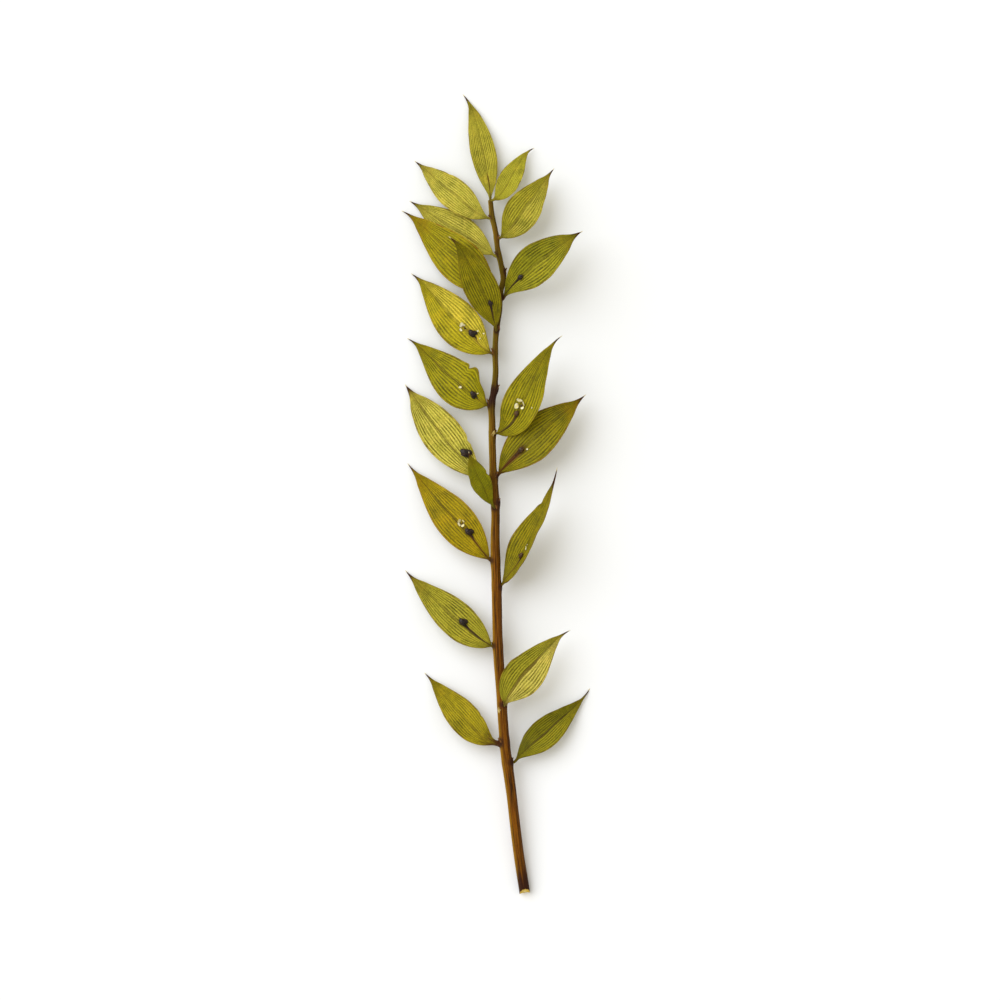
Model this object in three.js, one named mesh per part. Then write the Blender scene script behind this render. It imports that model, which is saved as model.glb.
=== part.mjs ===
// A dried sprig of butcher's broom (ruscus) lying on a table.
//
// One woody stem carries twenty leaf blades (botanically cladodes: flattened, leaf-like
// branches), each ending in a spine. Ten of them bear a bud cluster on the midrib and three
// of those also carry a small dried flower.
//
// Millimetres. +X is to the right, +Y runs from the cut end to the tip, +Z is up. The sprig
// rests on Z = 0 on its cut end, on the spines of the drooping leaves and on the end leaf.

import {
  Box3, CatmullRomCurve3, CylinderGeometry, Group, MathUtils, Mesh, MeshStandardMaterial,
  SphereGeometry, Vector3,
} from 'three';

const { degToRad, lerp, smoothstep } = MathUtils;

// ---------------------------------------------------------------- driving dimensions

const STEM_LENGTH = 173.2;      // from the cut end to the base of the end leaf
const BUTT_RADIUS = 1.34;       // stem radius at the cut end
const THICK_RADIUS = 1.26;      // where the thick lower part ends
const THIN_RADIUS = 0.68;       // where the thin upper part starts
const TIP_RADIUS = 0.60;        // stem radius under the end leaf
const THIN_FROM = 65;           // the stem thins out between these two heights
const THIN_TO = 140;
const STEM_SIDES = 12;
const STEM_STEPS = 44;

const BLADE_HALF_THICKNESS = 0.19;
const BLADE_SIDES = 12;         // points round one cross-section of a blade
const BLADE_STEPS = 12;         // cross-sections from the base to the spine
const PETIOLE = 0.36;           // clear distance from the stem to the base of a blade
const CLEARANCE = 0.32;         // clear distance from a blade to the bud above it

const BUD = new Vector3(0.75, 1.15, 0.65);      // half sizes: across, along and off the blade
const FLOWER = new Vector3(1.0, 1.0, 0.35);

// The stem bends a little at each node. Points run from the cut end to the tip.
const STEM_ROUTE = [
  [6.2, 0, 1.42], [4.5, 11, 2.5], [2.9, 24.5, 3.6], [1.2, 37.5, 4.3], [0.3, 50, 4.8],
  [-0.5, 62, 5.1], [-0.9, 77, 5.3], [-1.2, 88, 5.4], [-1.15, 96.5, 5.4], [-1.75, 106, 5.3],
  [-2.0, 118, 5.2], [-2.1, 122, 5.1], [-1.15, 128.5, 5.1], [-1.2, 137, 5.0], [-0.9, 141, 4.9],
  [-0.2, 145.5, 4.8], [0.1, 151, 4.6], [1.1, 155.4, 4.5], [-0.4, 158.8, 4.3], [-0.8, 163.5, 4.1],
  [-2.0, 169.5, 3.7], [-2.4, STEM_LENGTH, 3.5],
];

// Blade rows, numbered from the tip of the sprig down.
//   from     distance from the cut end where the blade springs, in mm
//   around   place round the stem in degrees: 0 right, 90 top, 180 left
//   heading  direction seen from above, in degrees from +Y towards +X
//   reach    length seen from above; tip: height of the spine's end above the table
//   half     half width at the widest place, which lies at the share `peak` of the length
//   point    how sharply the outline draws in at both ends
//   bow      sideways bend of the midrib, positive to the right; hook: its change of bend
//   arch     how far the midrib rises over its chord; cup: how far the edges rise over it
//   roll     turn about the midrib in degrees, positive with the right edge down
const BLADE_DEFAULTS = {
  peak: 0.38, point: 2.6, bow: 0, hook: 0, arch: 1, cup: 0.6, roll: 0, gap: PETIOLE,
};

const BLADES = [
  { from: STEM_LENGTH, around: 'end', heading: -14.7, reach: 27.3, tip: 0, half: 3.2,
    peak: 0.42, bow: 1.2, hook: 0.5, arch: 0.8, cup: 0.4, roll: 6 },
  { from: STEM_LENGTH, around: 35, heading: 38, reach: 16.6, tip: 0.9, half: 2.8,
    peak: 0.36, bow: -0.1, hook: -1.2, arch: 0.9, cup: 0.5, roll: -6 },
  { from: 168.9, around: 172, heading: -52, reach: 23.6, tip: 0, half: 3.9,
    peak: 0.42, bow: -0.7, hook: 0.7, arch: 1.3, cup: 0.5, roll: 7 },
  { from: 163.7, around: 8, heading: 38, reach: 21.8, tip: 6, half: 4.4,
    bow: 0.5, hook: -0.6, arch: 1.1, cup: 0.9, roll: -8 },
  { from: 159.6, around: 180, heading: -57, reach: 25.3, tip: 0, half: 4.2,
    peak: 0.42, bow: 0.2, arch: 0.3, cup: 0.1, roll: -5 },
  { from: 150.7, around: 170, heading: -50, reach: 31.1, tip: 0.3, half: 5.5,
    peak: 0.36, bow: 0.1, hook: 1.0, arch: 1.5, cup: 0.5, roll: -9 },
  { from: 141, around: 95, heading: -27.5, reach: 25.7, tip: 10.5, half: 4.3,
    peak: 0.42, bow: 1.3, hook: 0.5, arch: 0.6, cup: 0.6, roll: 4 },
  { from: 148.8, around: 4, heading: 50.5, reach: 25.4, tip: 15, half: 5,
    peak: 0.46, point: 2.8, bow: -1, hook: 0.3, arch: 1.0, cup: 1.0, roll: -8 },
  { from: 135.0, around: 180, heading: -45, reach: 28.4, tip: 0, half: 5.4,
    bow: -0.2, hook: 1, arch: 1.5, cup: 0.6, roll: -5 },
  { from: 121.9, around: 180, heading: -50, reach: 26.2, tip: 0, half: 5.4,
    peak: 0.34, bow: -0.2, hook: 1, arch: 1.4, cup: 0.8, roll: -4 },
  { from: 114.9, around: 12, heading: 34, reach: 29.1, tip: 13, half: 4.8,
    peak: 0.34, bow: 0.7, hook: -2.3, arch: 1.6, cup: 0.8, roll: -12 },
  { from: 104.5, around: 0, heading: 47.5, reach: 29.6, tip: 8, half: 5.4,
    peak: 0.42, bow: -0.4, hook: 0.4, arch: 1.2, cup: 0.5, roll: -10 },
  { from: 103.7, around: 178, heading: -41.5, reach: 31.6, tip: 0, half: 5.1,
    peak: 0.48, point: 2.7, bow: -1.2, hook: 0.9, arch: 1.2, cup: 0.5, roll: -6 },
  { from: 96.7, around: 108, heading: -24.5, reach: 15, tip: 9, half: 2.6,
    peak: 0.48, bow: -0.5, arch: 0.5, cup: 0.4, roll: 10 },
  { from: 83.4, around: 180, heading: -40.5, reach: 31.7, tip: 0, half: 4.9,
    bow: -0.1, arch: 1.6, cup: 0.7, roll: -3 },
  { from: 77.3, around: 6, heading: 25, reach: 32, tip: 14, half: 5.0,
    peak: 0.33, bow: 0.6, point: 3.0, hook: 0.3, arch: -1.4, cup: 1.9, roll: -58 },
  { from: 61.9, around: 180, heading: -49, reach: 28.7, tip: 0, half: 4.5,
    peak: 0.36, point: 2.3, bow: -0.75, hook: 0.2, arch: 1.4, cup: 0.7, roll: 2 },
  { from: 47.4, around: 62, heading: 41.5, reach: 24.6, tip: 9, half: 4.9,
    peak: 0.34, bow: -1.5, arch: 1.2, cup: 0.9, roll: 8 },
  { from: 37.7, around: 180, heading: -46, reach: 25.1, tip: 0, half: 3.95,
    bow: -1, hook: 1, arch: 1.2, cup: 0.5, roll: 3, gap: 0.8 },
  { from: 32.8, around: 0, heading: 46, reach: 25.8, tip: 0, half: 3.8,
    point: 3.4, bow: 0.2, hook: 0.8, arch: 1.0, cup: 0.7, roll: 5, gap: 0.9 },
];

// Bud clusters: the blade each sits on, its share of the way to the tip and its distance to
// the right of the midrib in mm.
const BUDS = [
  { blade: 7, share: 0.25, aside: 0.8 },
  { blade: 8, share: 0.26, aside: 0.1 },
  { blade: 9, share: 0.235, aside: 0.7 },
  { blade: 10, share: 0.155, aside: 0.8 },
  { blade: 11, share: 0.25, aside: -0.1 },
  { blade: 12, share: 0.29, aside: 0 },
  { blade: 13, share: 0.265, aside: 1.9 },
  { blade: 15, share: 0.27, aside: 0.7 },
  { blade: 16, share: 0.26, aside: 1.0 },
  { blade: 17, share: 0.31, aside: 0.3 },
];

const FLOWERS = [
  { blade: 9, share: 0.32, aside: 0.4 },
  { blade: 11, share: 0.335, aside: -0.1 },
  { blade: 15, share: 0.355, aside: 0.8 },
];

// ---------------------------------------------------------------- materials

const finish = (color, roughness) => new MeshStandardMaterial({ color, roughness, metalness: 0 });

const BARK = 0x7a4a14;
const BUD_BROWN = 0x2c1512;
const PETAL = 0xd8cc96;
const OLIVE = 0x8c8618;
const PALE_OLIVE = 0xb2a640;

const PALE_BLADES = [3, 5, 13];

// ---------------------------------------------------------------- stem

const stemCurve = new CatmullRomCurve3(STEM_ROUTE.map((point) => new Vector3(...point)));

function stemRadius(along) {
  if (along <= THIN_FROM) return lerp(BUTT_RADIUS, THICK_RADIUS, along / THIN_FROM);
  if (along >= THIN_TO) {
    return lerp(THIN_RADIUS, TIP_RADIUS, (along - THIN_TO) / (STEM_LENGTH - THIN_TO));
  }
  return lerp(THICK_RADIUS, THIN_RADIUS, smoothstep(along, THIN_FROM, THIN_TO));
}

// The stem climbs steadily in Y, so halving the interval finds the place at a given distance.
function stemPlace(along) {
  let low = 0;
  let high = 1;
  for (let i = 0; i < 40; i += 1) {
    const middle = (low + high) / 2;
    if (stemCurve.getPoint(middle).y < along) low = middle;
    else high = middle;
  }
  const centre = stemCurve.getPoint(low);
  const forward = stemCurve.getTangent(low).normalize();
  const right = forward.clone().cross(new Vector3(0, 0, 1)).normalize();
  const up = right.clone().cross(forward);
  return { centre, forward, right, up };
}

function makeStem() {
  const geometry = new CylinderGeometry(1, 1, STEM_LENGTH, STEM_SIDES, STEM_STEPS);
  const position = geometry.attributes.position;
  const point = new Vector3();
  for (let i = 0; i < position.count; i += 1) {
    point.fromBufferAttribute(position, i);
    const along = point.y + STEM_LENGTH / 2;
    const { centre, right, up } = stemPlace(along);
    const radius = stemRadius(along);
    const across = radius * point.x;
    const height = radius * point.z;
    point.copy(centre).addScaledVector(right, across).addScaledVector(up, height);
    position.setXYZ(i, point.x, point.y, point.z);
  }
  const stem = new Mesh(geometry, finish(BARK, 0.6));
  stem.name = 'stem';
  return stem;
}

// ---------------------------------------------------------------- blades

// Share of the full half width at a share of the length: nothing at both ends, one at `peak`.
function outline(share, { peak, point }) {
  if (share <= 0 || share >= 1) return 0;
  return (share / peak) ** (peak * point) * ((1 - share) / (1 - peak)) ** ((1 - peak) * point);
}

// A point on the blade's middle sheet in the blade's own frame: base at the origin, tip on +Y,
// upper side facing +Z.
function sheetPoint(blade, share, across) {
  const fromMiddle = 2 * share - 1;
  const sideways = (1 - fromMiddle ** 4) * (blade.bow + blade.hook * fromMiddle);
  const lift = (1 - fromMiddle ** 2) * blade.arch + blade.cup * (across / blade.half) ** 2;
  return new Vector3(sideways + across, share * blade.length, lift);
}

function makeBlade(row, index) {
  const blade = { ...BLADE_DEFAULTS, ...row };
  const { centre, forward, right, up } = stemPlace(blade.from);
  const off = stemRadius(blade.from) + blade.gap;
  const base = centre.clone();
  if (blade.around === 'end') {
    base.addScaledVector(forward, blade.gap);
  } else {
    const angle = degToRad(blade.around);
    base.addScaledVector(right, off * Math.cos(angle)).addScaledVector(up, off * Math.sin(angle));
  }
  const climb = blade.tip - base.z;
  blade.length = Math.hypot(blade.reach, climb);

  const geometry = new SphereGeometry(1, BLADE_SIDES, BLADE_STEPS);
  const position = geometry.attributes.position;
  for (let i = 0; i < position.count; i += 1) {
    const [x, y, z] = [position.getX(i), position.getY(i), position.getZ(i)];
    const share = (1 + y) / 2;
    const ring = Math.max(Math.hypot(x, z), 1e-9);
    const half = blade.half * outline(share, blade);
    const thickness = Math.min(BLADE_HALF_THICKNESS, half / 2);
    const place = sheetPoint(blade, share, (half * x) / ring);
    position.setXYZ(i, place.x, place.y, place.z + (thickness * z) / ring);
  }

  const colour = PALE_BLADES.includes(index + 1) ? PALE_OLIVE : OLIVE;
  const mesh = new Mesh(geometry, finish(colour, 0.65));
  mesh.name = `leaf_${String(index + 1).padStart(2, '0')}`;
  mesh.position.copy(base);
  const pitch = Math.atan2(climb, blade.reach);
  mesh.rotation.set(pitch, degToRad(blade.roll), -degToRad(blade.heading), 'ZXY');
  mesh.userData.blade = blade;
  return mesh;
}

// ---------------------------------------------------------------- buds and flowers

// A small rounded body that sits square on the upper side of a blade.
function onBlade(mesh, name, { share, aside }, halfSize, color) {
  const { blade } = mesh.userData;
  const step = 0.01;
  const place = sheetPoint(blade, share, aside);
  const along = sheetPoint(blade, share + step, aside).sub(place).normalize();
  const across = sheetPoint(blade, share, aside + step).sub(place).normalize();
  const normal = across.cross(along);
  const lift = BLADE_HALF_THICKNESS + CLEARANCE + halfSize.z;
  const geometry = new SphereGeometry(1, 8, 6);
  geometry.scale(halfSize.x, halfSize.y, halfSize.z);
  const body = new Mesh(geometry, finish(color, 0.5));
  body.name = name;
  body.position.copy(place).addScaledVector(normal, lift);
  return body;
}

// ---------------------------------------------------------------- the sprig

const sprig = new Group();
const blades = BLADES.map(makeBlade);
sprig.add(makeStem(), ...blades);

function dress(rows, prefix, halfSize, color) {
  for (const row of rows) {
    const mesh = blades[row.blade - 1];
    const name = `${prefix}_${String(row.blade).padStart(2, '0')}`;
    mesh.add(onBlade(mesh, name, row, halfSize, color));
  }
}

dress(BUDS, 'bud', BUD, BUD_BROWN);
dress(FLOWERS, 'flower', FLOWER, PETAL);

// Put the origin on the table, under the middle of the sprig.
sprig.updateMatrixWorld(true);
const box = new Box3().setFromObject(sprig, true);
const middle = box.getCenter(new Vector3());
sprig.position.set(-middle.x, -middle.y, -box.min.z);

export default sprig;
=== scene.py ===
"""A dried sprig of butcher's broom (ruscus) lying on a pale table, seen from straight above.

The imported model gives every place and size. Each plain blade, the stem, the buds and the
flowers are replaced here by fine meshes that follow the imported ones. Lengths are in metres.
"""

import math
import random

import bmesh
import bpy
import numpy as np
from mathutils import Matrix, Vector


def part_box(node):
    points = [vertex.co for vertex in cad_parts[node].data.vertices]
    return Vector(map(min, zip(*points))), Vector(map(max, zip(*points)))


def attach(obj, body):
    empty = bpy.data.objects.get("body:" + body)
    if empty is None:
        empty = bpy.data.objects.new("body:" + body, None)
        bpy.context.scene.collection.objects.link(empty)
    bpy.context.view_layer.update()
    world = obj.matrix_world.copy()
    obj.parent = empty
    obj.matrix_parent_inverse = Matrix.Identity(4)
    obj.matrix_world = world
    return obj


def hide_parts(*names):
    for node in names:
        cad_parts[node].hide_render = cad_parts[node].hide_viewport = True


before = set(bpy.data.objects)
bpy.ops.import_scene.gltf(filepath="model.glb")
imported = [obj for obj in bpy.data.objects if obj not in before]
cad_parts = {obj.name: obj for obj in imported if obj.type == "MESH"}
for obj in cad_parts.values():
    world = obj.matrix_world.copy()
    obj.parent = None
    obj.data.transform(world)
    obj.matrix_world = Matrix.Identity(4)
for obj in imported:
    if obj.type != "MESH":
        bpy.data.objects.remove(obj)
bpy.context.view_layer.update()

MM = 0.001
TAU = 2.0 * math.pi

# ---------------------------------------------------------------- sizes

RING_POINTS = 12            # points round one cross-section of a packed blade
BLADE_COLUMNS = 84          # fine strips across a blade
BLADE_ROWS = 84             # fine strips from the base to the spine's end
PETIOLE_ROWS = 8            # fine strips from the stem to the blade's base
BLADE_HALF_THICKNESS = 0.13 * MM
VEINS_PER_HALF = 7
VEIN_HEIGHT = 0.042 * MM
MIDRIB_HEIGHT = 0.09 * MM
PETIOLE_RADIUS = 0.34 * MM
SPINE_RADIUS = 0.24 * MM    # where the spine leaves the blade
SPINE_END_RADIUS = 0.07 * MM
SPINE_LENGTH = 0.11         # share of the blade's length
TIP_NARROWING = 0.28        # share of the half width taken off where the blade nears its spine

STEM_COLUMNS = 72
STEM_ROWS = 440
STEM_FLUTES = 11
CUT_SLOPE = 1.00                # how far the cut end leans back, per unit of height
CUT_REACH = 0.26 * MM           # how far the lower half of the cut end stands out

# Stem nodes: distance from the cut end in mm, side in degrees (0 right, 90 top, 180 left)
# and how much the stem swells there in mm.
STEM_NODES = [
    (169.0, 180, 0.12), (163.7, 0, 0.12), (159.7, 180, 0.20), (155.2, 0, 0.22),
    (150.7, 175, 0.12), (149.0, 0, 0.20), (140.9, 80, 0.28), (135.2, 180, 0.22),
    (126.0, 0, 0.36), (122.2, 180, 0.40), (114.9, 20, 0.16), (104.3, 0, 0.24),
    (103.6, 180, 0.16), (97.6, 20, 0.24), (96.2, 100, 0.16), (83.2, 180, 0.20),
    (76.6, 0, 0.20), (61.9, 180, 0.18), (47.2, 60, 0.16), (37.8, 180, 0.34),
    (32.6, 0, 0.26),
]
PALE_SCALES = [(114.9, 62, 0.10), (47.0, 20, 0.20), (45.9, 120, 0.12)]
DARK_STRETCH = (124.3, 3.2)     # where the bark is darkest, and how far that goes, in mm

# ---------------------------------------------------------------- colours (sRGB, 0 to 255)

PALE = (172, 163, 48)
YELLOW = (160, 152, 36)
GOLD = (141, 131, 8)
OLIVE = (136, 128, 8)
GREEN = (121, 118, 10)

# Blade looks, numbered from the tip of the sprig down.
#   tone      colour of the body of the blade; lit_right_tone: colour of its right half, paler as painted light
#   margin    colour of the thin dry rim; rim: how strongly it shows
#   streak    how dark the midrib is between the bud and the base; aside: how far to the
#             right of the midrib it ends, as a share of the half width; until: where it ends
#   tip_line  how dark the midrib is from there to the tip
#   lines     how strongly the dark lines between the veins show
#   width     half width of the dark midrib, as a share of the half width
#   dark_base how brown the base is; base_reach: how far up the blade that goes
#   purple    the inner midrib is purple instead of brown
#   spine_from where the brown of the spine starts; stalk: size factor of the petiole
LOOK_DEFAULTS = {
    "tone": OLIVE, "lit_right_tone": None, "margin": (116, 84, 12), "rim": 0.6, "streak": 0.25,
    "aside": 0.0, "until": 0.3, "width": 0.06, "tip_line": 0.55, "lines": 0.7, "dark_base": 0.5,
    "purple": False, "spine_from": 0.935, "base_reach": 0.075, "stalk": 1.0,
}

BLADE_LOOKS = {
    1: {"tone": YELLOW, "streak": 0.9, "until": 0.22, "tip_line": 0.45, "lines": 0.6},
    2: {"tone": (161, 155, 34), "streak": 0.2, "lines": 0.5},
    3: {"tone": (169, 161, 47), "tip_line": 0.65, "dark_base": 0.3, "lines": 0.6},
    4: {"tone": (144, 137, 24), "lit_right_tone": (152, 144, 35), "tip_line": 0.6, "lines": 0.65},
    5: {"tone": PALE, "dark_base": 0.3, "lines": 0.6, "tip_line": 0.6},
    6: {"tone": GOLD, "margin": (140, 80, 8), "rim": 0.9, "lines": 0.65},
    7: {"tone": (121, 113, 2), "streak": 0.95, "aside": 0.14, "until": 0.27, "purple": True,
        "lines": 0.75},
    8: {"tone": GREEN, "streak": 0.9, "until": 0.29, "purple": True, "dark_base": 1.0,
        "lit_right_tone": (134, 129, 18)},
    9: {"tone": (158, 146, 16), "lit_right_tone": (180, 165, 36), "streak": 0.5, "aside": 0.12,
        "dark_base": 0.8, "lines": 0.55},
    10: {"tone": (139, 131, 8), "streak": 0.4, "aside": 0.15, "until": 0.2, "tip_line": 0.95},
    11: {"tone": (133, 125, 6), "streak": 0.8, "until": 0.28, "purple": True,
         "margin": (150, 124, 30)},
    12: {"tone": (118, 110, 0), "streak": 1.0, "until": 0.32, "width": 0.13,
         "tip_line": 0.6, "margin": (150, 92, 8), "dark_base": 1.0},
    13: {"tone": PALE, "tip_line": 0.9, "lines": 0.85, "streak": 0.1},
    14: {"tone": (116, 113, 2), "streak": 0.1, "tip_line": 0.6, "lines": 0.6},
    15: {"tone": (144, 126, 4), "margin": (160, 114, 10), "rim": 0.75, "streak": 1.0,
         "aside": 0.13, "until": 0.3, "tip_line": 0.95, "lines": 0.6, "dark_base": 0.9},
    16: {"tone": (124, 114, 4), "streak": 0.7, "aside": 0.2, "until": 0.28, "rim": 0.8,
         "spine_from": 0.87},
    17: {"tone": (145, 138, 28), "streak": 0.9, "aside": 0.05, "until": 0.33, "purple": True,
         "lines": 0.8, "spine_from": 0.92},
    18: {"tone": (140, 134, 24), "lit_right_tone": (174, 163, 54), "streak": 0.5, "until": 0.6,
         "tip_line": 0.7, "lines": 0.85},
    19: {"tone": (145, 132, 14), "tip_line": 0.4, "lines": 0.8, "dark_base": 1.0,
         "base_reach": 0.15, "stalk": 2.1},
    20: {"tone": (109, 104, 2), "lit_right_tone": (124, 118, 10), "streak": 0.9, "until": 0.7,
         "width": 0.018, "tip_line": 0.9, "lines": 0.8},
}

# Damage to the rim: blade, side (1 right, -1 left), share of the length, depth as a share of
# the half width (below 0 the rim bulges), length as a share of the blade's length.
NICKS = [
    (3, 1, 0.62, 0.05, 0.030),
    (10, 1, 0.348, 0.24, 0.020),
    (10, 1, 0.280, -0.26, 0.080),
    (13, 1, 0.33, 0.10, 0.020),
    (14, 1, 0.55, 0.14, 0.030),
    (16, -1, 0.69, 0.24, 0.022),
    (19, 1, 0.30, 0.05, 0.020),
]

# Part of a rim that has folded up as it dried: blade, side, from share, to share, height in mm.
FOLDS = [(10, 1, 0.06, 0.35, 1.7)]

# ---------------------------------------------------------------- small helpers


def linear(colour):
    """sRGB from 0 to 255 as linear RGBA."""
    parts = []
    for value in colour:
        share = value / 255.0
        parts.append(share / 12.92 if share <= 0.04045 else ((share + 0.055) / 1.055) ** 2.4)
    return (*parts, 1.0)


def tint(colour, factor):
    """The colour made lighter or darker in sRGB."""
    return tuple(min(255.0, max(0.0, value * factor)) for value in colour)


def unit(vectors):
    lengths = np.linalg.norm(vectors, axis=-1, keepdims=True)
    return vectors / np.maximum(lengths, 1e-12)


def smooth(value, low, high):
    share = np.clip((value - low) / (high - low), 0.0, 1.0)
    return share * share * (3.0 - 2.0 * share)


def spline(knots, at):
    """A Catmull-Rom curve through evenly spaced knots, level at both ends."""
    padded = np.concatenate([knots[1:2], knots, knots[-2:-1]])
    first = np.clip(np.floor(at).astype(int), 0, len(knots) - 2)
    t = (at - first)[:, None]
    p0, p1, p2, p3 = (padded[first + i] for i in range(4))
    return 0.5 * (
        2.0 * p1 + (p2 - p0) * t + (2.0 * p0 - 5.0 * p1 + 4.0 * p2 - p3) * t**2
        + (3.0 * p1 - p0 - 3.0 * p2 + p3) * t**3
    )


def merged(node):
    """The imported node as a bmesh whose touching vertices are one."""
    mesh = bmesh.new()
    mesh.from_mesh(node.data)
    bmesh.ops.remove_doubles(mesh, verts=mesh.verts, dist=2e-7)
    mesh.verts.ensure_lookup_table()
    return mesh


# ---------------------------------------------------------------- building meshes


class Shape:
    """Collects grids of points into one mesh."""

    def __init__(self):
        self.points = []
        self.faces = []
        self.uvs = []
        self.finishes = []
        self.extra = []

    def grid(self, points, uvs, finish=0, round_columns=False, extra=None):
        """Adds a grid of rows x columns points, joined into quads."""
        rows, columns = points.shape[:2]
        first = sum(len(block) for block in self.points)
        self.points.append(points.reshape(-1, 3))
        self.uvs.append(uvs.reshape(-1, 2))
        fill = np.zeros(rows * columns) if extra is None else extra.reshape(-1)
        self.extra.append(fill)
        index = first + np.arange(rows * columns).reshape(rows, columns)
        if round_columns:
            index = np.concatenate([index, index[:, :1]], axis=1)
        quads = np.stack([index[:-1, :-1], index[:-1, 1:], index[1:, 1:], index[1:, :-1]], axis=-1)
        quads = quads.reshape(-1, 4)
        self.faces.append(quads)
        self.finishes.append(np.full(len(quads), finish))
        return index

    def cap(self, ring, finish=0):
        """Closes a ring of points with a fan round its middle."""
        points = np.concatenate(self.points)
        uvs = np.concatenate(self.uvs)
        extra = np.concatenate(self.extra)
        centre = len(points)
        self.points.append(points[ring].mean(axis=0, keepdims=True))
        self.uvs.append(uvs[ring].mean(axis=0, keepdims=True))
        self.extra.append(np.array([extra[ring].mean()]))
        following = np.roll(ring, -1)
        fan = np.stack([ring, following, np.full(len(ring), centre)], axis=-1)
        self.faces.append(fan)
        self.finishes.append(np.full(len(fan), finish))

    def build(self, name, materials, nodes):
        """Makes the Blender object, which rides on the body and stands for the nodes."""
        points = np.concatenate(self.points)
        uvs = np.concatenate(self.uvs)
        faces = [face for block in self.faces for face in block.tolist()]
        mesh = bpy.data.meshes.new(name)
        mesh.from_pydata(points.tolist(), [], faces)
        mesh.polygons.foreach_set("material_index", np.concatenate(self.finishes).astype(int))
        mesh.polygons.foreach_set("use_smooth", [True] * len(mesh.polygons))
        layer = mesh.uv_layers.new(name="Surface")
        corners = np.zeros(len(mesh.loops), dtype=int)
        mesh.loops.foreach_get("vertex_index", corners)
        layer.data.foreach_set("uv", uvs[corners].reshape(-1))
        mark = mesh.attributes.new("mark", "FLOAT", "POINT")
        mark.data.foreach_set("value", np.concatenate(self.extra))
        for material in materials:
            mesh.materials.append(material)
        outward = bmesh.new()
        outward.from_mesh(mesh)
        bmesh.ops.recalc_face_normals(outward, faces=outward.faces)
        outward.to_mesh(mesh)
        outward.free()
        mesh.update()
        piece = bpy.data.objects.new(name, mesh)
        bpy.context.scene.collection.objects.link(piece)
        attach(piece, "root")
        if nodes:
            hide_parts(*nodes)
        return piece


# ---------------------------------------------------------------- node materials


class Finish:
    """A node material, with short calls for the nodes that it needs."""

    def __init__(self, name):
        self.material = bpy.data.materials.new(name)
        self.material.use_nodes = True
        self.tree = self.material.node_tree
        self.shader = self.tree.nodes["Principled BSDF"]

    def set(self, socket, value):
        if isinstance(value, bpy.types.NodeSocket):
            self.tree.links.new(value, socket)
        elif value is not None:
            socket.default_value = value

    def add(self, kind, **settings):
        node = self.tree.nodes.new(kind)
        for key, value in settings.items():
            setattr(node, key, value)
        return node

    def math(self, operation, a, b=None, c=None):
        node = self.add("ShaderNodeMath", operation=operation)
        self.set(node.inputs[0], a)
        self.set(node.inputs[1], b)
        self.set(node.inputs[2], c)
        return node.outputs[0]

    def mix(self, share, first, second):
        node = self.add("ShaderNodeMix", data_type="RGBA")
        self.set(node.inputs["Factor"], share)
        self.set(node.inputs[6], first)
        self.set(node.inputs[7], second)
        return node.outputs[2]

    def shade(self, colour, factor):
        """The colour times a number."""
        node = self.add("ShaderNodeMix", data_type="RGBA", blend_type="MULTIPLY")
        node.inputs["Factor"].default_value = 1.0
        self.set(node.inputs[6], colour)
        self.set(node.inputs[7], factor)
        return node.outputs[2]

    def band(self, value, low, high, first=0.0, second=1.0):
        """Goes smoothly from first to second as the value goes from low to high."""
        node = self.add("ShaderNodeMapRange", interpolation_type="SMOOTHSTEP")
        self.set(node.inputs["Value"], value)
        for key, number in (("From Min", low), ("From Max", high), ("To Min", first),
                            ("To Max", second)):
            self.set(node.inputs[key], number)
        return node.outputs[0]

    def noise(self, vector, scale, detail=3.0, roughness=0.55):
        node = self.add("ShaderNodeTexNoise")
        self.set(node.inputs["Vector"], vector)
        node.inputs["Scale"].default_value = scale
        node.inputs["Detail"].default_value = detail
        node.inputs["Roughness"].default_value = roughness
        return node.outputs[0]

    def place(self, offset=0.0):
        """The point on the object, moved aside so that no two pieces are alike."""
        where = self.add("ShaderNodeTexCoord").outputs["Object"]
        node = self.add("ShaderNodeVectorMath", operation="ADD")
        self.set(node.inputs[0], where)
        node.inputs[1].default_value = (offset, 0.37 * offset, 0.0)
        return node.outputs[0]

    def surface(self):
        """The two surface coordinates, each from 0 to 1."""
        uv = self.add("ShaderNodeUVMap", uv_map="Surface").outputs[0]
        parts = self.add("ShaderNodeSeparateXYZ")
        self.set(parts.inputs[0], uv)
        return parts.outputs[0], parts.outputs[1]

    def joined(self, x, y, z=0.0):
        node = self.add("ShaderNodeCombineXYZ")
        self.set(node.inputs[0], x)
        self.set(node.inputs[1], y)
        self.set(node.inputs[2], z)
        return node.outputs[0]

    def mark(self):
        return self.add("ShaderNodeAttribute", attribute_name="mark").outputs["Fac"]

    def bump(self, height, distance, strength=1.0, under=None):
        node = self.add("ShaderNodeBump")
        node.inputs["Strength"].default_value = strength
        node.inputs["Distance"].default_value = distance
        self.set(node.inputs["Height"], height)
        self.set(node.inputs["Normal"], under)
        return node.outputs[0]

    def done(self, colour, roughness, normal, specular=0.5):
        self.set(self.shader.inputs["Base Color"], colour)
        self.set(self.shader.inputs["Roughness"], roughness)
        self.set(self.shader.inputs["Normal"], normal)
        self.shader.inputs["Specular IOR Level"].default_value = specular
        return self.material


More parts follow.
